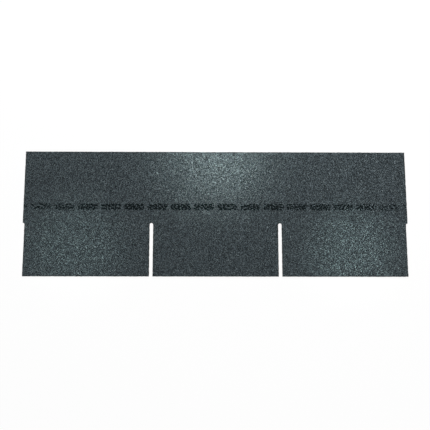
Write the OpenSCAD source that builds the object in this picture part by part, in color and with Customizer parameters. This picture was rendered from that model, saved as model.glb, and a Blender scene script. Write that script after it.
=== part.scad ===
// One strip of a tabbed asphalt roofing shingle, lying flat with its stone face up.
// X runs along the strip, Y from the butt edge to the head edge, and Z out of the stone face.
// The origin is on the underside, at the middle of the strip.

/* [Strip] */
// Length of the strip, along its row of tabs
strip_l = 1000; // [900:1:1100]
// Height of the strip, from the butt edge to the head edge
strip_h = 333; // [280:1:400]
// Thickness of the sheet, with the stone granules that are rolled into its face
strip_t = 2.7; // [2:0.1:5]

/* [Tabs and cut-outs] */
// How many tabs the strip has
tab_count = 3; // [2:1:5]
// Length of a cut-out, from the butt edge to the top of its round end
slot_l = 140.5; // [100:0.5:160]
// Width of a cut-out
slot_w = 9; // [5:0.5:14]

/* [Seal dashes] */
// Length of a whole dash, along the strip
dash_l = 49.5; // [20:0.5:80]
// Width of a dash, across the strip
dash_w = 15; // [9:0.5:20]
// How far a dash stands above the stone face
dash_t = 0.8; // [0.4:0.1:1.5]
// Bare gap between one dash and the next
dash_gap = 11; // [5:0.5:30]
// Radius of a dash's corners, seen from above
dash_corner_r = 4; // [2:0.5:6]
// Bare stretch between the tops of the cut-outs and the row of dashes
dash_rise = 35.5; // [10:0.5:60]
// Shortest stub of a dash that stays on the strip where the end cut crosses one
stub_least = 3; // [1:0.5:8]

/* [Hidden] */
$fn = 64;

// How far a cut runs past the faces that it cuts
overrun = 1;
// Share of a dash's height that its round shoulder takes up
shoulder_share = 0.75;

tab_pitch = strip_l / tab_count;
slot_r = slot_w / 2;
butt_y = -strip_h / 2;
dash_pitch = dash_l + dash_gap;
dash_y = butt_y + slot_l + dash_rise + dash_w / 2;
shoulder_r = shoulder_share * dash_t;

// The row is laid out from a gap at the strip's middle, and each end cut leaves a stub of the next dash.
whole_dashes = floor((strip_l / 2 + dash_gap / 2) / dash_pitch);
stub_l = strip_l / 2 - dash_gap / 2 - whole_dashes * dash_pitch;

// Middle of a dash, counted outwards from the strip's middle
function dash_x(index) = dash_gap / 2 + dash_l / 2 + index * dash_pitch;

// Plan of one cut-out, open at the butt edge and round at its top
module cut_out() {
    round_y = slot_l - slot_r;
    translate([-slot_r, -overrun]) square([slot_w, round_y + overrun]);
    translate([0, round_y]) circle(r = slot_r);
}

// A cut-out stands at each side of every tab, so half of one is left at each end of the strip.
module strip_plan() {
    difference() {
        translate([-strip_l / 2, butt_y]) square([strip_l, strip_h]);
        for (index = [0 : tab_count])
            translate([index * tab_pitch - strip_l / 2, butt_y]) cut_out();
    }
}

// Plan of a dash, a rectangle with round corners
module dash_plan() {
    corner_x = dash_l / 2 - dash_corner_r;
    corner_y = dash_w / 2 - dash_corner_r;
    square([dash_l, 2 * corner_y], center = true);
    square([2 * corner_x, dash_w], center = true);
    for (x = [-corner_x, corner_x], y = [-corner_y, corner_y])
        translate([x, y]) circle(r = dash_corner_r);
}

// Height profile of a dash, flat with two round shoulders
module dash_profile(across) {
    shoulder_x = across / 2 - shoulder_r;
    translate([-across / 2, 0]) square([across, dash_t - shoulder_r]);
    translate([-shoulder_x, 0]) square([2 * shoulder_x, dash_t]);
    for (side = [-1, 1]) intersection() {
        translate([side * shoulder_x, dash_t - shoulder_r]) circle(r = shoulder_r);
        translate([-across / 2, 0]) square([across, dash_t]);
    }
}

// One dash: its plan, rounded over by the same profile along and across
module dash() {
    intersection() {
        linear_extrude(dash_t) dash_plan();
        rotate([90, 0, 90]) linear_extrude(dash_l + 2 * overrun, center = true) dash_profile(dash_w);
        rotate([90, 0, 0]) linear_extrude(dash_w + 2 * overrun, center = true) dash_profile(dash_l);
    }
}

// What is left on the strip of the dash that the end cut crosses
module stub() {
    intersection() {
        translate([dash_x(whole_dashes), 0, 0]) dash();
        translate([strip_l / 2 - stub_l - overrun, -dash_w / 2 - overrun, -overrun])
            cube([stub_l + overrun, dash_w + 2 * overrun, dash_t + 2 * overrun]);
    }
}

module shingle_strip() {
    color("#434c4e") linear_extrude(strip_t) strip_plan();
}

module seal_dashes() {
    color("#1d2021") translate([0, dash_y, strip_t])
        for (end = [0, 1]) mirror([end, 0, 0]) {
            for (index = [0 : whole_dashes - 1]) translate([dash_x(index), 0, 0]) dash();
            if (stub_l >= stub_least) stub();
        }
}

shingle_strip();
seal_dashes();
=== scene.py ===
"""Dresses one three-tab asphalt shingle strip: its cut sheet, its granules and its row of seal dashes."""

import math
from typing import NamedTuple

import bpy
import numpy as np
from bpy.props import FloatProperty, FloatVectorProperty, IntProperty, PointerProperty
from bpy.types import Operator, Panel, PropertyGroup
from mathutils import Matrix, Vector


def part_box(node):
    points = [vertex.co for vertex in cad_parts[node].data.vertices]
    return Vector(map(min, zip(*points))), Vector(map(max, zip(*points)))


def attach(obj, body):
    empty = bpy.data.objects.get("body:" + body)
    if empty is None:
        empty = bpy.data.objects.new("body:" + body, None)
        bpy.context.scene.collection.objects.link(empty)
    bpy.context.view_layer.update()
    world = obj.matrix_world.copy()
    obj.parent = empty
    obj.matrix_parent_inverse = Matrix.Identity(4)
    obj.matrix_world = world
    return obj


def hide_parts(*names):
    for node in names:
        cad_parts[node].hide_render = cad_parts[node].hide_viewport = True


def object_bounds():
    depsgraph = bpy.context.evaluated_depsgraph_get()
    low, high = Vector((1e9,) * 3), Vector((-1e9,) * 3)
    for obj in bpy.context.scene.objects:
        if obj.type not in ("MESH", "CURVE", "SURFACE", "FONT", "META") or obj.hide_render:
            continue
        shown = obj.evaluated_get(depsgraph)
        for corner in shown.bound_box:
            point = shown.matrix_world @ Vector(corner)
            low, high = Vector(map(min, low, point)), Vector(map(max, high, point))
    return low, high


bl_info = {
    "name": "Asphalt shingle strip",
    "version": (1, 0, 0),
    "blender": (4, 5, 0),
    "location": "3D View > Sidebar > Shingle",
    "description": "Makes the sheet, granules and seal dashes of a shingle strip, and a stage for it",
    "category": "Add Mesh",
}

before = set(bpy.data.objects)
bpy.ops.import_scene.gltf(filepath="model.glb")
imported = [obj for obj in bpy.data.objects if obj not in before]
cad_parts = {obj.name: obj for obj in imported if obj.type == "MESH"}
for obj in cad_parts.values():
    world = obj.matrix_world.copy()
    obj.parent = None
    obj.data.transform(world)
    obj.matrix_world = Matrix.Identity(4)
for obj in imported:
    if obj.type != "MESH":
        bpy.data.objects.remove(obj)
CAD_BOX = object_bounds()
STRIP_LOW, STRIP_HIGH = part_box("shingle_strip")
DASH_LOW, DASH_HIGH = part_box("seal_dashes")
MM = 0.001

# Count of the waves in a random height, and range of their wave numbers as shares of the one asked for
WAVE_COUNT = 28
WAVE_NUMBER_SHARES = (0.6, 1.6)

# Edge of the sheet, from its underside up: how far it stands out, and its height as a share of the whole
EDGE_OUTSETS = np.array([-0.30, -0.05, 0.02, 0.0, -0.12, -0.40]) * MM
EDGE_LEVEL_SHARES = np.array([0.0, 0.07, 0.35, 0.75, 0.94, 1.0])
# Points on the half of a cut-out's round top that an end cut leaves, and on a whole one
QUARTER_TURN_POINTS = 9
HALF_TURN_POINTS = 2 * QUARTER_TURN_POINTS - 1
# Wavelengths of the cut's wander and of the finer drift of each line of the edge, and that drift's share
WANDER_WAVE = 14 * MM
DRIFT_WAVE = 5 * MM
DRIFT_SHARE = 0.4
WANDER_SEED = 3
DRIFT_SEED = 30

# A granule has four top corners and one buried tip, which is its last point
CORNERS = 4
CHIP_POINTS = CORNERS + 1
CHIP_FACES = np.array([(0, 1, 2), (0, 2, 3), (1, 0, 4), (2, 1, 4), (3, 2, 4), (0, 3, 4)])
# How far a granule strays from its place in the grid, as a share of the pitch
STRAY_SHARE = 0.36
# Least room that a granule needs to the bare edge, as a share of the mean radius
LEAST_ROOM_SHARE = 0.3
# Radius of a granule as shares of the mean, and reach of its corners as shares of its own radius
RADIUS_SHARES = (0.72, 1.22)
CORNER_SHARES = (0.85, 1.1)
# How much of its room to the bare edge a granule's radius and its corners may take
RADIUS_ROOM_SHARE = 1.1
CORNER_ROOM_SHARE = 1.25
# How far a corner strays from its quarter turn, as a share of it, and how much a granule is stretched
TURN_SHARE = 0.28
STRETCH_SHARE = 0.2
# Most that a granule tilts, in radians, and how far its top may lie from the mean height
TILT_LIMIT = 0.5
HEIGHT_LIMITS = (-0.3 * MM, 0.32 * MM)
# Share of near-black stones, and the mean and spread of the tones of black and slate-grey ones
BLACK_SHARE = 0.45
BLACK_TONES = (0.20, 0.08)
SLATE_TONES = (0.54, 0.155)
# Names of the attribute that holds the tones and of the map that the export keeps colours through
TONE_NAME = "tone"
MAP_NAME = "OFBake"
# How much of its cell of the map a granule fills
CELL_SHARE = 0.6

# Room for a dash's ragged edge round its spread border, as a share of the raggedness
FOOT_SHARE = 1.5
# How far the dashes stop short of the end cuts
END_MARGIN = 0.4 * MM
# How far a dash's border lies below the sheet's bitumen, and its flat underside below that border
BEAD_SINK = 0.1 * MM
BEAD_ROOT = 0.3 * MM
# Fewest grid squares along a stub
LEAST_COLUMNS = 4
# Wavelengths of a dash's ragged edge and of the lumps on it, each with a seed of its own
RAGGED_WAVE = 6 * MM
LUMP_WAVE = 7.5 * MM
FIRST_BEAD_SEED = 100
SEEDS_A_BEAD = 2
# How thickly a dash is printed at the strip's middle, what it loses to the ends, and how much it varies
INK_FULL = 1.35
INK_FADE = 2.2
INK_SPREAD = 0.6

# Floor: its drop below the strip, its grey, how white it is seen to be, and where that fades to plain white
FLOOR_DROP = 0.1 * MM
FLOOR_GREY = (0.95, 0.95, 0.95)
FLOOR_WHITE_SHARE = 0.92
FADE_START = 0.8
FADE_END = 2.5
WHITE = (1, 1, 1, 1)

# Place and sides of the soft lamp behind the head edge
KEY_PLACE = Vector((0.34, 1.46, 0.92))
KEY_WIDTH = 2.2
KEY_HEIGHT = 0.87
# Height above the strip and radius of the lamps that light the pools
POOL_LAMP_HEIGHT = 1.5
POOL_LAMP_RADIUS = 0.05
# Width of the camera's sensor, in millimetres
SENSOR_WIDTH = 36


class Pool(NamedTuple):
    """A round pool of light on the strip: its middle, its radius, its level on a white card, its tint."""

    name: str
    x: float
    y: float
    spread: float
    level: float
    tint: tuple


HEAD_TINT = (0.93, 1.0, 0.915)
TAB_TINT = (0.84, 1.0, 0.915)
POOLS = (
    Pool("pool_head", 0.005, 0.141, 0.10, 0.57, HEAD_TINT),
    Pool("pool_head_skirt", 0.003, 0.170, 0.214, 0.62, HEAD_TINT),
    Pool("pool_right_tab", 0.354, -0.098, 0.145, 0.460, TAB_TINT),
    Pool("pool_left_tab", -0.366, -0.091, 0.160, 0.295, TAB_TINT),
)

# Places of a Mix node's sockets for colours, because its other sockets have the same names
MIX_FACTOR = 0
MIX_FIRST = 6
MIX_SECOND = 7
MIX_COLOUR = 2


def length(name, description, millimetres):
    """A property that holds a length, given in millimetres and kept in metres."""
    return FloatProperty(
        name=name, description=description, default=millimetres * MM, unit="LENGTH", precision=5
    )


def angle(name, description, degrees):
    """A property that holds an angle, given in degrees and kept in radians."""
    return FloatProperty(
        name=name, description=description, default=math.radians(degrees), subtype="ANGLE", precision=4
    )


def colour(name, description, red, green, blue):
    """A property that holds a colour in linear light."""
    return FloatVectorProperty(
        name=name, description=description, default=(red, green, blue), subtype="COLOR", min=0, max=1
    )


def factor(name, description, value):
    """A property that holds a factor, where 1 is full."""
    return FloatProperty(
        name=name, description=description, default=value, subtype="FACTOR", min=0, soft_max=1
    )


class SheetProperties(PropertyGroup):
    """The bitumen sheet under the granules"""

    tab_count: IntProperty(name="Tabs", description="How many tabs the strip has", default=3)
    slot_width: length("Cut-out width", "Width of the cut-outs between the tabs", 9)
    slot_length: length("Cut-out length", "Length of the cut-outs from the butt edge", 140.5)
    bed_depth: length("Bed depth", "How far the bitumen lies below the granules' mean height", 0.45)
    cut_wander: length("Cut wander", "How far the knife's cut wanders off its line", 0.12)
    cut_step: length("Cut step", "Spacing of the points along the cut edge", 2)
    bitumen: colour("Bitumen", "Colour of the bare bitumen", 0.0060, 0.0066, 0.0070)
    sand: colour("Sand", "Colour of the sand on the back", 0.085, 0.083, 0.078)


class GranuleProperties(PropertyGroup):
    """The stone granules on the face"""

    pitch: length("Pitch", "Mean spacing of the granules", 1.61)
    radius: length("Radius", "Mean half-width of a granule", 0.98)
    depth: length("Depth", "How deep a granule's buried tip reaches below its top", 2.2)
    height_spread: length("Height spread", "Spread of the granules' heights", 0.13)
    fold: length("Fold", "Spread of the heights of one granule's corners", 0.045)
    edge_bare: length("Bare edge", "Bare bitumen along the cut edges", 0.35)
    tilt: angle("Tilt", "Spread of the granules' tilt", 8)
    mica: factor("Mica", "How strongly the light stones glint, as mica does", 0.66)
    bands: IntProperty(name="Bands", description="Bands that the granules are made in", default=6)
    dark: colour("Dark stone", "Colour of the darkest granules", 0.0089, 0.0128, 0.0145)
    middle: colour("Middle stone", "Colour of the commonest granules", 0.0752, 0.0962, 0.1077)
    light: colour("Light stone", "Colour of the lightest granules", 0.1680, 0.2025, 0.208)
    seed: IntProperty(name="Seed", description="Seed of the granules' scatter", default=11)


class SealProperties(PropertyGroup):
    """The dashes of seal bitumen on the granules"""

    dash_length: length("Dash length", "Length of a whole dash", 49.5)
    dash_gap: length("Dash gap", "Bare gap between two dashes", 11)
    corner: length("Corner", "Radius of a dash's corners", 4)
    shoulder: length("Shoulder", "Width of a dash's sloping border", 1.3)
    spread: length("Spread", "How far a dash's border spreads past its plan", 1.7)
    rise: length("Rise", "Height of a dash's crown above the granules, for each part of ink", 0.19)
    lumps: length("Lumps", "Spread of the lumps on a dash", 0.5)
    ragged: length("Ragged edge", "How far a dash's outline wanders", 0.7)
    step: length("Step", "Grid spacing of the dashes' surface", 0.95)
    bitumen: colour("Seal bitumen", "Colour of the seal bitumen", 0.0040, 0.0070, 0.0076)
    seed: IntProperty(name="Seed", description="Seed of how thickly each dash is printed", default=416)


class StageProperties(PropertyGroup):
    """Floor, lamps and camera"""

    floor_side: length("Floor side", "Side of the square floor", 12000)
    view_distance: length("View distance", "Distance from the camera to the strip's middle", 2445.9)
    view_low: length("View offset", "How far below the strip's middle the camera aims", 4.72)
    view_left: length("View left", "How far left of the strip's middle the camera aims", 1.74)
    view_tilt: angle("View tilt", "Camera's lean from straight above to the butt edge", 13.262)
    view_side: angle("View side", "Camera's lean from straight above to the right", -0.79)
    view_roll: angle("View roll", "Camera's turn about its line of sight", -0.0545)
    lens: FloatProperty(
        name="Lens", description="Focal length in millimetres", default=78.704, subtype="DISTANCE_CAMERA"
    )
    sky: factor("Sky", "Strength of the even light from all round", 0.55)
    key: factor("Key", "Light of the soft lamp on a white card", 0.645)


class Wire:
    """A shader socket that can be used in sums: an operator on wires and numbers adds a Math node."""

    def __init__(self, tree, socket=None):
        self.tree = tree
        self.socket = socket

    def add(self, kind, settings=None, inputs=None, output=0):
        """Adds a node of this type. Its settings come first, then its sockets get their values or links."""
        node = self.tree.nodes.new(kind)
        for name, value in (settings or {}).items():
            if name == "stops":
                self.set_stops(node.color_ramp.elements, value)
            else:
                setattr(node, name, value)
        for name, value in (inputs or {}).items():
            if isinstance(value, Wire):
                self.tree.links.new(value.socket, node.inputs[name])
            else:
                node.inputs[name].default_value = value
        return Wire(self.tree, node.outputs[output])

    @staticmethod
    def set_stops(elements, stops):
        """Gives a colour ramp these (place, colour) stops."""
        while len(elements) < len(stops):
            elements.new(1)
        for element, (place, tint) in zip(elements, stops):
            element.position = place
            element.color = opaque(tint)

    def combine(self, operation, first, second):
        """Adds a Math node on two wires, or on a wire and a number."""
        return self.add("ShaderNodeMath", {"operation": operation}, {0: first, 1: second})

    def __add__(self, other):
        return self.combine("ADD", self, other)

    __radd__ = __add__

    def __mul__(self, other):
        return self.combine("MULTIPLY", self, other)

    __rmul__ = __mul__

    def __sub__(self, other):
        return self.combine("SUBTRACT", self, other)

    def __rsub__(self, other):
        return self.combine("SUBTRACT", other, self)

    def __gt__(self, other):
        return self.combine("GREATER_THAN", self, other)

    def clamped(self, low, high):
        """The wire stretched so that low becomes 0 and high becomes 1, and held to that range."""
        return self.add("ShaderNodeMapRange", {}, {"Value": self, "From Min": low, "From Max": high})

    def between(self, low, high):
        """The wire stretched so that 0 becomes low and 1 becomes high."""
        return low + (high - low) * self

    def blend(self, first, second):
        """Two colours mixed by this wire, from the first at 0 to the second at 1."""
        inputs = {MIX_FACTOR: self, MIX_FIRST: first, MIX_SECOND: second}
        return self.add("ShaderNodeMix", {"data_type": "RGBA"}, inputs, MIX_COLOUR)


def new_material(name, roughness=0.5, specular=0.5):
    """A material, the wire to build its nodes from and its shader node."""
    material = bpy.data.materials.new(name)
    material.use_nodes = True
    tree = material.node_tree
    shader = tree.nodes["Principled BSDF"]
    shader.inputs["Roughness"].default_value = roughness
    shader.inputs["Specular IOR Level"].default_value = specular
    return material, Wire(tree), shader


def plug(wire, shader, socket):
    """Links a wire to one of the shader's sockets."""
    wire.tree.links.new(wire.socket, shader.inputs[socket])


def object_place(start):
    """The object's own coordinates, in metres."""
    return start.add("ShaderNodeTexCoord", output="Object")


def noise(place, scale, detail=2.0, rough=0.5):
    """Noise from 0 to 1, with this many waves to the metre."""
    inputs = {"Vector": place, "Scale": scale, "Detail": detail, "Roughness": rough}
    return place.add("ShaderNodeTexNoise", {}, inputs)


def relief(height, strength, depth):
    """A surface normal bumped by a height from 0 to 1, which stands for this depth."""
    return height.add("ShaderNodeBump", {}, {"Height": height, "Strength": strength, "Distance": depth})


def opaque(tint, times=1):
    """A colour made some times as light, with full alpha."""
    return (*(times * part for part in tint), 1)


def granule_stone(granules):
    """Crushed stone: each granule has a tone of its own, from dark to light, and the light ones glint."""
    material, start, shader = new_material("granule_stone", roughness=0.34, specular=0.02)
    tone = start.add("ShaderNodeAttribute", {"attribute_name": TONE_NAME}, output="Fac")
    stops = [(0.0, granules.dark), (0.5, granules.middle), (1.0, granules.light)]
    plug(start.add("ShaderNodeValToRGB", {"stops": stops}, {"Fac": tone}), shader, "Base Color")
    plug(granules.mica * tone.clamped(low=0.30, high=0.50), shader, "Metallic")
    return material


def cut_bitumen(sheet):
    """Bare bitumen with the drag of the knife: cloudy black, duller in patches and pitted."""
    dusty = opaque(sheet.bitumen, times=3.2)
    material, start, shader = new_material("cut_bitumen", specular=0.12)
    place = object_place(start)
    cloud = noise(place, scale=420, detail=3.0)
    dust = cloud.clamped(low=0.45, high=0.85)
    plug(dust.blend(opaque(sheet.bitumen), dusty), shader, "Base Color")
    plug(cloud.between(low=0.45, high=0.80), shader, "Roughness")
    pits = noise(place, scale=1500, detail=3.0, rough=0.65)
    plug(relief(pits, strength=0.5, depth=0.3 * MM), shader, "Normal")
    return material


def sanded_back(sheet):
    """Bitumen dusted with fine sand, so that the strips don't stick together in the pack. A grain shows
    where its tone and the thickness of the dusting add up to enough, and it fades out towards its rim."""
    dusting_share = 0.45
    least_dusting = 0.72
    material, start, shader = new_material("sanded_back", roughness=0.85)
    place = object_place(start)
    cells = {"Vector": place, "Scale": 1400, "Randomness": 1}
    grain_colour = start.add("ShaderNodeTexVoronoi", {}, cells, "Color")
    from_middle = start.add("ShaderNodeTexVoronoi", {}, cells, "Distance")
    tone = start.add("ShaderNodeSeparateColor", {}, {"Color": grain_colour})
    dusting = noise(place, scale=60, detail=3.0).clamped(low=0.2, high=0.75)
    enough = tone + dusting_share * dusting > least_dusting
    shows = enough * (1 - from_middle.clamped(low=0.35, high=0.6))
    sand = tone.between(low=0.4, high=1.0).blend(opaque(sheet.bitumen), opaque(sheet.sand))
    plug(shows.blend(opaque(sheet.bitumen), sand), shader, "Base Color")
    plug(relief(shows * (1 - from_middle), strength=0.7, depth=0.4 * MM), shader, "Normal")
    return material


def seal_bitumen(seal):
    """Soft bitumen of the dashes, dulled here and there by dust and with a slightly uneven skin."""
    dusty = opaque(seal.bitumen, times=3.5)
    material, start, shader = new_material("seal_bitumen", specular=0.02)
    place = object_place(start)
    dust = noise(place, scale=900, detail=4.0, rough=0.6).clamped(low=0.5, high=0.85)
    plug(dust.blend(opaque(seal.bitumen), dusty), shader, "Base Color")
    plug(dust.between(low=0.34, high=0.74), shader, "Roughness")
    plug(relief(noise(place, scale=700), strength=0.35, depth=0.4 * MM), shader, "Normal")
    return material


def new_piece(name, points, faces, materials, node):
    """A mesh object at the origin that rides on the part and stands for a CAD node."""
    mesh = bpy.data.meshes.new(name)
    mesh.from_pydata(points, [], faces)
    for material in materials:
        mesh.materials.append(material)
    piece = bpy.data.objects.new(name, mesh)
    bpy.context.scene.collection.objects.link(piece)
    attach(piece, "root")
    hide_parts(node)
    return piece


def wave_field(x, y, wavelength, seed):
    """A smooth random height with a spread of 1: plane waves of random heading, length and phase, summed."""
    rng = np.random.default_rng(seed)
    heading = rng.uniform(0, 2 * np.pi, WAVE_COUNT)
    number = 2 * np.pi / wavelength * rng.uniform(*WAVE_NUMBER_SHARES, WAVE_COUNT)
    phase = rng.uniform(0, 2 * np.pi, WAVE_COUNT)
    along = np.multiply.outer(x, np.cos(heading)) + np.multiply.outer(y, np.sin(heading))
    return np.cos(along * number + phase).sum(-1) * math.sqrt(2 / WAVE_COUNT)


def slot_places(sheet):
    """The cut-outs' middles along X, with those on the two ends, and the Y of their round tops' centres."""
    middles = np.linspace(STRIP_LOW.x, STRIP_HIGH.x, sheet.tab_count + 1)
    return middles, STRIP_LOW.y + sheet.slot_length - sheet.slot_width / 2


def edge_distance(sheet, x, y):
    """How far a point lies inside the cut edge: the least distance to the four sides and to the cut-outs.
    A cut-out is all points within half its width of the line from its round top's centre down."""
    middles, round_y = slot_places(sheet)
    sides = (x - STRIP_LOW.x, STRIP_HIGH.x - x, y - STRIP_LOW.y, STRIP_HIGH.y - y)
    above = np.maximum(y - round_y, 0)
    slots = [np.hypot(x - middle, above) - sheet.slot_width / 2 for middle in middles]
    return np.minimum.reduce([*sides, *slots])


def cut_path(sheet):
    """The cut edge as one closed anticlockwise path of points about a step apart. Each cut-out is a run up,
    a half circle over its top and a run down, and the ends keep a quarter circle of theirs."""
    middles, round_y = slot_places(sheet)
    radius = sheet.slot_width / 2
    last = len(middles) - 1
    corners = []
    for index, middle in enumerate(middles):
        start = np.pi / 2 if index == 0 else np.pi
        stop = np.pi / 2 if index == last else 0
        turn = np.linspace(start, stop, QUARTER_TURN_POINTS if start - stop < np.pi else HALF_TURN_POINTS)
        if index > 0:
            corners.append([(middle - radius, STRIP_LOW.y)])
        corners.append(np.stack([middle + radius * np.cos(turn), round_y + radius * np.sin(turn)], 1))
        if index < last:
            corners.append([(middle + radius, STRIP_LOW.y)])
    corners.append([(STRIP_HIGH.x, STRIP_HIGH.y), (STRIP_LOW.x, STRIP_HIGH.y)])
    corners = np.concatenate(corners)
    reach = np.roll(corners, -1, 0) - corners
    steps = np.maximum(np.rint(np.hypot(*reach.T) / sheet.cut_step), 1).astype(int)
    which = np.repeat(np.arange(len(corners)), steps)
    share = (np.arange(len(which)) - (np.cumsum(steps) - steps)[which]) / steps[which]
    return corners[which] + reach[which] * share[:, None]


def sheet_surface(sheet):
    """The sheet's edge profile carried along the cut edge, closed by a face below and a face above. The
    profile leans in at the bottom and the top, and the cut wanders by a smooth random amount on its way."""
    path = cut_path(sheet)
    tangent = np.roll(path, -1, 0) - np.roll(path, 1, 0)
    outward = np.stack([tangent[:, 1], -tangent[:, 0]], 1) / np.hypot(*tangent.T)[:, None]
    level = EDGE_LEVEL_SHARES * (STRIP_HIGH.z - sheet.bed_depth)
    wander = sheet.cut_wander * wave_field(path[:, 0], path[:, 1], WANDER_WAVE, WANDER_SEED)
    rows = len(level)
    points = np.empty((rows, len(path), 3))
    for row in range(rows):
        drift = wave_field(path[:, 0], path[:, 1], DRIFT_WAVE, DRIFT_SEED + row)
        outset = EDGE_OUTSETS[row] + wander + DRIFT_SHARE * sheet.cut_wander * drift
        points[row, :, :2] = path + outward * outset[:, None]
        points[row, :, 2] = level[row]
    index = np.arange(rows * len(path)).reshape(rows, -1)
    following = np.roll(index, -1, 1)
    walls = np.stack([index[:-1], following[:-1], following[1:], index[1:]], -1).reshape(-1, 4)
    faces = [index[0][::-1].tolist(), *walls.tolist(), index[-1].tolist()]
    return points.reshape(-1, 3), faces


def granule_places(sheet, granules, rng):
    """Granule middles on a triangular grid, row by row, each strayed by a random amount. Those over an edge
    or a cut-out are left out. Each comes with its distance to the cut edge."""
    row_pitch = granules.pitch * math.sqrt(3) / 2
    size = STRIP_HIGH - STRIP_LOW
    rows = int(size.y / row_pitch) + 1
    columns = int(size.x / granules.pitch) + 1
    row, column = np.mgrid[0:rows, 0:columns]
    stray = rng.uniform(-STRAY_SHARE, STRAY_SHARE, (2, rows, columns)) * granules.pitch
    x = STRIP_LOW.x + (column + 0.5 * (row % 2)) * granules.pitch + stray[0]
    y = STRIP_LOW.y + row * row_pitch + stray[1]
    inside = edge_distance(sheet, x, y)
    kept = inside > granules.edge_bare + LEAST_ROOM_SHARE * granules.radius
    return x[kept], y[kept], inside[kept]


def granule_chips(granules, rng, x, y, inside):
    """Crushed stones as whole arrays: four corners at strayed quarter turns round each middle, stretched
    along a random line, on a tilted and slightly folded top, and one tip buried in the bitumen."""
    count = len(x)
    each = (count, CORNERS)
    room = np.maximum(inside - granules.edge_bare, LEAST_ROOM_SHARE * granules.radius)[:, None]
    radius = granules.radius * rng.uniform(*RADIUS_SHARES, (count, 1))
    radius = np.minimum(radius, RADIUS_ROOM_SHARE * room)
    turn = np.arange(CORNERS) + rng.uniform(-TURN_SHARE, TURN_SHARE, each)
    turn += rng.uniform(0, CORNERS, (count, 1))
    turn *= 2 * np.pi / CORNERS
    stretch = 1 + STRETCH_SHARE * np.cos(2 * (turn - rng.uniform(0, np.pi, (count, 1))))
    reach = radius * stretch * rng.uniform(*CORNER_SHARES, each)
    reach = np.minimum(reach, CORNER_ROOM_SHARE * room)
    across = reach * np.cos(turn)
    up = reach * np.sin(turn)
    slope = np.tan(rng.normal(0, granules.tilt, (2, count, 1)).clip(-TILT_LIMIT, TILT_LIMIT))
    top = STRIP_HIGH.z + rng.normal(0, granules.height_spread, count).clip(*HEIGHT_LIMITS)
    fold = rng.normal(0, granules.fold, each)
    stones = np.empty((count, CHIP_POINTS, 3))
    stones[:, :CORNERS, 0] = x[:, None] + across
    stones[:, :CORNERS, 1] = y[:, None] + up
    stones[:, :CORNERS, 2] = top[:, None] + slope[0] * across + slope[1] * up + fold
    stones[:, CORNERS] = np.stack([x, y, top - granules.depth], 1)
    return stones


def stone_tones(rng, count):
    """A blend of two stones, near black and slate grey, each with its own spread of tones."""
    black = rng.random(count) < BLACK_SHARE
    return np.where(black, rng.normal(*BLACK_TONES, count), rng.normal(*SLATE_TONES, count)).clip(0, 1)


def chip_map(stones):
    """A square cell of the map for each stone: its plan, shrunk into the middle of the cell."""
    count = len(stones)
    across = math.ceil(math.sqrt(count))
    cell = np.stack([np.arange(count) % across, np.arange(count) // across], 1)[:, None]
    plan = stones[:, :, :2] - stones[:, CORNERS:, :2]
    plan = plan / (2 * np.abs(plan).max((1, 2), keepdims=True))
    return (cell + 0.5 + CELL_SHARE * plan) / across


def add_tones(mesh, tones):
    """One tone for all the faces of each stone."""
    layer = mesh.attributes.new(TONE_NAME, "FLOAT", "FACE")
    layer.data.foreach_set("value", np.repeat(tones, len(CHIP_FACES)).astype(np.float32))


def add_map(mesh, places):
    """The map that the stones' colours are kept through, with each corner at its stone's place."""
    corners = places[:, CHIP_FACES.ravel()].reshape(-1, 2)
    layer = mesh.uv_layers.new(name=MAP_NAME)
    layer.uv.foreach_set("vector", corners.ravel().astype(np.float32))


def dash_spans(seal):
    """Where each dash starts and stops along X: laid out both ways from a gap at the strip's middle, up to
    the last one that starts on the strip."""
    pitch = seal.dash_length + seal.dash_gap
    start = seal.dash_gap / 2 + pitch * np.arange(int(STRIP_HIGH.x / pitch) + 1)
    start = start[start < STRIP_HIGH.x]
    right = np.stack([start, start + seal.dash_length], 1)
    return np.concatenate([-right[::-1, ::-1], right])


def dash_ink(seal, spans):
    """How thickly each dash is printed: it fades with the fourth power of the way from the strip's middle
    to its ends, and varies by a random amount."""
    along = spans.mean(1) / STRIP_HIGH.x
    rng = np.random.default_rng(seal.seed)
    return INK_FULL - INK_FADE * along**4 + rng.uniform(-INK_SPREAD, INK_SPREAD, len(spans))


def box_distance(x, y, middle, half):
    """How far points lie outside a rectangle with this middle and these half sides. Inside it, the distance
    to the nearest side counts as less than 0."""
    out_x = np.abs(x - middle[0]) - half[0]
    out_y = np.abs(y - middle[1]) - half[1]
    outside = np.hypot(np.maximum(out_x, 0), np.maximum(out_y, 0))
    return outside + np.minimum(np.maximum(out_x, out_y), 0)


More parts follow.
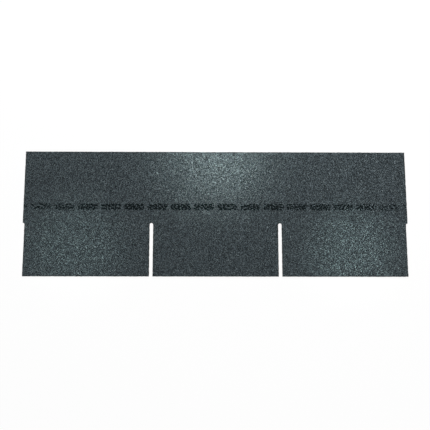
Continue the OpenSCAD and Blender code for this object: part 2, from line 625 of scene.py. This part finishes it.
def bead_surface(seal, bed, start, stop, seed, ink):
    """One dash as a grid over its plan, cut off at the strip's ends. Its height is a shoulder that falls
    off smoothly towards a ragged round-cornered outline, with lumps on it. The underside is flat, and both
    meet along the border."""
    foot = seal.spread + FOOT_SHARE * seal.ragged
    low = max(start - foot, STRIP_LOW.x + END_MARGIN)
    high = min(stop + foot, STRIP_HIGH.x - END_MARGIN)
    columns = max(int((high - low) / seal.step), LEAST_COLUMNS)
    rows = int((DASH_HIGH.y - DASH_LOW.y + 2 * foot) / seal.step)
    along = np.linspace(low, high, columns + 1)
    across = np.linspace(DASH_LOW.y - foot, DASH_HIGH.y + foot, rows + 1)
    x, y = np.meshgrid(along, across, indexing="ij")
    middle = ((start + stop) / 2, (DASH_LOW.y + DASH_HIGH.y) / 2)
    half = ((stop - start) / 2 - seal.corner, (DASH_HIGH.y - DASH_LOW.y) / 2 - seal.corner)
    within = seal.spread + seal.corner - box_distance(x, y, middle, half)
    share = np.clip((within + seal.ragged * wave_field(x, y, RAGGED_WAVE, seed)) / seal.shoulder, 0, 1)
    smooth = share * share * (3 - 2 * share)
    crown = STRIP_HIGH.z + seal.rise * ink + seal.lumps * wave_field(x, y, LUMP_WAVE, seed + 1)
    inner = np.zeros(x.shape, bool)
    inner[1:-1, 1:-1] = True
    top = np.where(inner, bed + smooth * (crown - bed), bed)
    upper = np.stack([x, y, top], -1).reshape(-1, 3)
    lower = np.stack([x[inner], y[inner], np.full(inner.sum(), bed - BEAD_ROOT)], -1)
    index = np.arange(x.size).reshape(x.shape)
    under = index.copy()
    under[inner] = x.size + np.arange(inner.sum())
    faces = np.concatenate([grid_faces(index), grid_faces(under)[:, ::-1]])
    return np.concatenate([upper, lower]), faces


def grid_faces(index):
    """The squares of a grid of point numbers, facing up."""
    return np.stack([index[:-1, :-1], index[1:, :-1], index[1:, 1:], index[:-1, 1:]], -1).reshape(-1, 4)


class SHINGLE_OT_sheet(Operator):
    """Make the cut bitumen sheet that carries the granules"""

    bl_idname = "shingle.sheet"
    bl_label = "Bitumen sheet"

    def execute(self, context):
        sheet = context.scene.shingle_sheet
        points, faces = sheet_surface(sheet)
        materials = [cut_bitumen(sheet), sanded_back(sheet)]
        piece = new_piece("bitumen_sheet", points, faces, materials, "shingle_strip")
        underside = piece.data.polygons[0]
        underside.material_index = 1
        return {"FINISHED"}


class SHINGLE_OT_granules(Operator):
    """Press the stone granules into the sheet, in bands from the butt edge to the head edge"""

    bl_idname = "shingle.granules"
    bl_label = "Stone granules"

    def execute(self, context):
        sheet = context.scene.shingle_sheet
        granules = context.scene.shingle_granules
        rng = np.random.default_rng(granules.seed)
        x, y, inside = granule_places(sheet, granules, rng)
        stones = granule_chips(granules, rng, x, y, inside)
        tones = stone_tones(rng, len(stones))
        material = granule_stone(granules)
        cuts = np.linspace(0, len(stones), granules.bands + 1).astype(int)
        for band, (first, last) in enumerate(zip(cuts[:-1], cuts[1:]), 1):
            name = f"granule_band_{band}"
            part = stones[first:last]
            points = part.reshape(-1, 3)
            faces = (CHIP_POINTS * np.arange(len(part))[:, None, None] + CHIP_FACES).reshape(-1, 3)
            piece = new_piece(name, points, faces, [material], "shingle_strip")
            add_tones(piece.data, tones[first:last])
            add_map(piece.data, chip_map(part))
        return {"FINISHED"}


class SHINGLE_OT_seal(Operator):
    """Print the row of seal dashes on the granules"""

    bl_idname = "shingle.seal"
    bl_label = "Seal dashes"

    def execute(self, context):
        sheet = context.scene.shingle_sheet
        seal = context.scene.shingle_seal
        bed = STRIP_HIGH.z - sheet.bed_depth - BEAD_SINK
        spans = dash_spans(seal)
        points, faces, made = [], [], 0
        for number, ((start, stop), ink) in enumerate(zip(spans, dash_ink(seal, spans))):
            seed = FIRST_BEAD_SEED + SEEDS_A_BEAD * number
            more, squares = bead_surface(seal, bed, start, stop, seed, ink)
            points.append(more)
            faces.append(squares + made)
            made += len(more)
        points = np.concatenate(points)
        faces = np.concatenate(faces)
        new_piece("seal_beads", points, faces, [seal_bitumen(seal)], "seal_dashes")
        return {"FINISHED"}


def seen_share(start):
    """1 for what the camera sees, also by way of a mirror or glass, and 0 for light that falls on things."""
    names = ("Is Camera Ray", "Is Glossy Ray", "Is Transmission Ray")
    camera, glossy, through = (start.add("ShaderNodeLightPath", output=name) for name in names)
    return (camera + glossy + through).clamped(0, 1)


def add_floor(stage):
    """A white floor that takes the strip's shadow near it and fades to plain white further out."""
    half = stage.floor_side / 2
    level = CAD_BOX[0].z - FLOOR_DROP
    mesh = bpy.data.meshes.new("floor")
    corners = [(-half, -half, level), (half, -half, level), (half, half, level), (-half, half, level)]
    mesh.from_pydata(corners, [], [(0, 1, 2, 3)])
    material, start, shader = new_material("white_floor", roughness=0.9, specular=0)
    shader.inputs["Base Color"].default_value = opaque(FLOOR_GREY)
    white = start.add("ShaderNodeEmission", {}, {"Color": WHITE, "Strength": 1})
    matte = Wire(start.tree, shader.outputs["BSDF"])
    away = start.add("ShaderNodeVectorMath", {"operation": "LENGTH"}, {0: object_place(start)}, "Value")
    plain = away.clamped(FADE_START, FADE_END).between(FLOOR_WHITE_SHARE, 1)
    surface = start.add("ShaderNodeMixShader", {}, {0: plain * seen_share(start), 1: matte, 2: white})
    plug(surface, start.tree.nodes["Material Output"], "Surface")
    mesh.materials.append(material)
    floor = bpy.data.objects.new("floor", mesh)
    bpy.context.scene.collection.objects.link(floor)


def add_world(sky):
    """Even white light from all round, which shows as plain white behind the floor."""
    world = bpy.data.worlds.new("studio")
    world.use_nodes = True
    background = world.node_tree.nodes["Background"]
    background.inputs["Color"].default_value = WHITE
    plug(seen_share(Wire(world.node_tree)).between(sky, 1), background, "Strength")
    bpy.context.scene.world = world


def add_lamp(light, place, target):
    """Hangs a lamp in its place and points it at a target."""
    lamp = bpy.data.objects.new(light.name, light)
    lamp.location = place
    lamp.rotation_euler = (target - place).to_track_quat("-Z", "Y").to_euler()
    bpy.context.scene.collection.objects.link(lamp)


def add_key(level):
    """A wide soft lamp behind the strip's head edge. On a white card in the strip's place it adds this
    level, which is its power over pi squared and the distance squared, times the cosine of its slant."""
    light = bpy.data.lights.new("soft_key", "AREA")
    light.shape = "RECTANGLE"
    light.size = KEY_WIDTH
    light.size_y = KEY_HEIGHT
    light.energy = level * math.pi**2 * KEY_PLACE.length**3 / KEY_PLACE.z
    add_lamp(light, KEY_PLACE, Vector())


def add_pool(pool, camera_place):
    """A soft spot lamp that lights a round pool on the strip. It stands where a mirror on the strip would
    show it to the camera, so the pool glints as well. On a white card it adds its power over four times pi
    squared and the distance squared."""
    target = Vector((pool.x, pool.y, STRIP_HIGH.z))
    away = camera_place - target
    stand = target + Vector((-away.x, -away.y, away.z)) * (POOL_LAMP_HEIGHT / away.z)
    distance = (stand - target).length
    light = bpy.data.lights.new(pool.name, "SPOT")
    light.energy = pool.level * 4 * math.pi**2 * distance**2
    light.spot_size = 2 * math.atan(pool.spread / distance)
    light.spot_blend = 1
    light.color = pool.tint
    light.shadow_soft_size = POOL_LAMP_RADIUS
    add_lamp(light, stand, target)


def add_camera(stage):
    """Looks down on the strip, leaning to the butt edge's side."""
    data = bpy.data.cameras.new("camera")
    data.lens = stage.lens
    data.sensor_width = SENSOR_WIDTH
    camera = bpy.data.objects.new("camera", data)
    lean = Matrix.Rotation(stage.view_side, 3, "Y") @ Matrix.Rotation(stage.view_tilt, 3, "X")
    turn = lean @ Matrix.Rotation(stage.view_roll, 3, "Z")
    target = Vector((-stage.view_left, -stage.view_low, STRIP_HIGH.z))
    camera.location = target + lean.col[2] * stage.view_distance
    camera.rotation_euler = turn.to_euler()
    bpy.context.scene.collection.objects.link(camera)
    bpy.context.scene.camera = camera
    return camera


class SHINGLE_OT_stage(Operator):
    """Set up the floor, the lamps and the camera"""

    bl_idname = "shingle.stage"
    bl_label = "Stage"

    def execute(self, context):
        stage = context.scene.shingle_stage
        add_floor(stage)
        add_world(stage.sky)
        add_key(stage.key)
        camera = add_camera(stage)
        for pool in POOLS:
            add_pool(pool, camera.location)
        context.scene.view_settings.view_transform = "Standard"
        return {"FINISHED"}


class SHINGLE_PT_panel(Panel):
    """Lists the sizes, the colours and the steps in their order"""

    bl_idname = "SHINGLE_PT_panel"
    bl_label = "Shingle strip"
    bl_space_type = "VIEW_3D"
    bl_region_type = "UI"
    bl_category = "Shingle"

    def draw(self, context):
        for key, group, operator in STEPS:
            column = self.layout.column()
            settings = getattr(context.scene, key)
            for name in group.__annotations__:
                column.prop(settings, name)
            column.operator(operator.bl_idname)


STEPS = (
    ("shingle_sheet", SheetProperties, SHINGLE_OT_sheet),
    ("shingle_granules", GranuleProperties, SHINGLE_OT_granules),
    ("shingle_seal", SealProperties, SHINGLE_OT_seal),
    ("shingle_stage", StageProperties, SHINGLE_OT_stage),
)


def register():
    """Adds the settings, the operators and the panel to Blender."""
    for key, group, operator in STEPS:
        bpy.utils.register_class(group)
        bpy.utils.register_class(operator)
        setattr(bpy.types.Scene, key, PointerProperty(type=group))
    bpy.utils.register_class(SHINGLE_PT_panel)


def unregister():
    """Takes them out again, in the opposite order."""
    bpy.utils.unregister_class(SHINGLE_PT_panel)
    for key, group, operator in reversed(STEPS):
        delattr(bpy.types.Scene, key)
        bpy.utils.unregister_class(operator)
        bpy.utils.unregister_class(group)


def main():
    """Makes the pieces and the stage in order."""
    register()
    bpy.ops.shingle.sheet()
    bpy.ops.shingle.granules()
    bpy.ops.shingle.seal()
    bpy.ops.shingle.stage()


if __name__ == "__main__":
    main()
